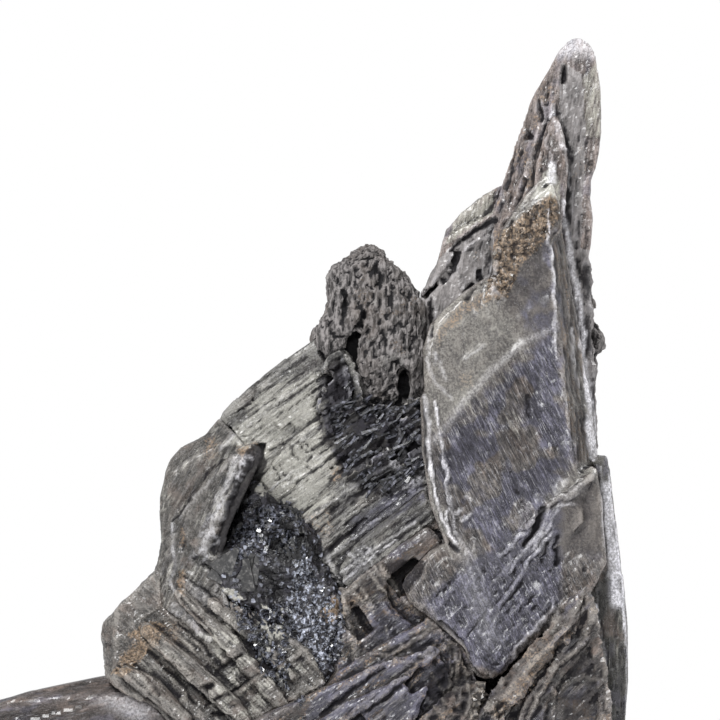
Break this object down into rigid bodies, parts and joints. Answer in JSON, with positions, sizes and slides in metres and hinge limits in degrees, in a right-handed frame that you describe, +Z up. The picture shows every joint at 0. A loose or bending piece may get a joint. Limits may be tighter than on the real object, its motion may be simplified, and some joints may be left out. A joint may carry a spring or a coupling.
{
  "type": "gypsum crystal specimen",
  "caption": "Free-standing cluster of smoky selenite blades, prisms and stepped growth layers on a flat-based clay matrix, with a tall rear spire and a long side blade.",
  "frame": {"origin": "on the flat base, under the middle of the cluster", "axes": "+Z up, +X to the right seen from the display side, -Y towards that side's viewer"},
  "size_m": [0.1389, 0.0551, 0.1624],
  "materials": {
    "selenite": "smoky translucent gypsum, silky growth lines on the faces, white worn edges",
    "clear_selenite": "clear pale yellow-green gypsum with parallel growth layers and dark inclusions",
    "stained_selenite": "grey gypsum with ochre iron staining along its ridges",
    "brown_selenite": "brown-grey gypsum, smooth, with fine lengthwise lines",
    "druse": "crust of tiny dark glittering crystals",
    "clay": "rough grey-brown clay with shrinkage cracks"
  },
  "bodies": {
    "root": {"front_blade": "selenite", "corner_blade": "selenite", "ribbed_crystal": "selenite", "right_prism": "selenite", "left_crystal": "selenite", "stained_crystal": "stained_selenite", "rear_spire": "selenite", "fan_crystal": "clear_selenite", "druse_crust": "druse", "side_blade": "brown_selenite", "back_blade_left": "selenite", "back_blade_right": "selenite", "clay_matrix": "clay"}
  },
  "joints": []
}
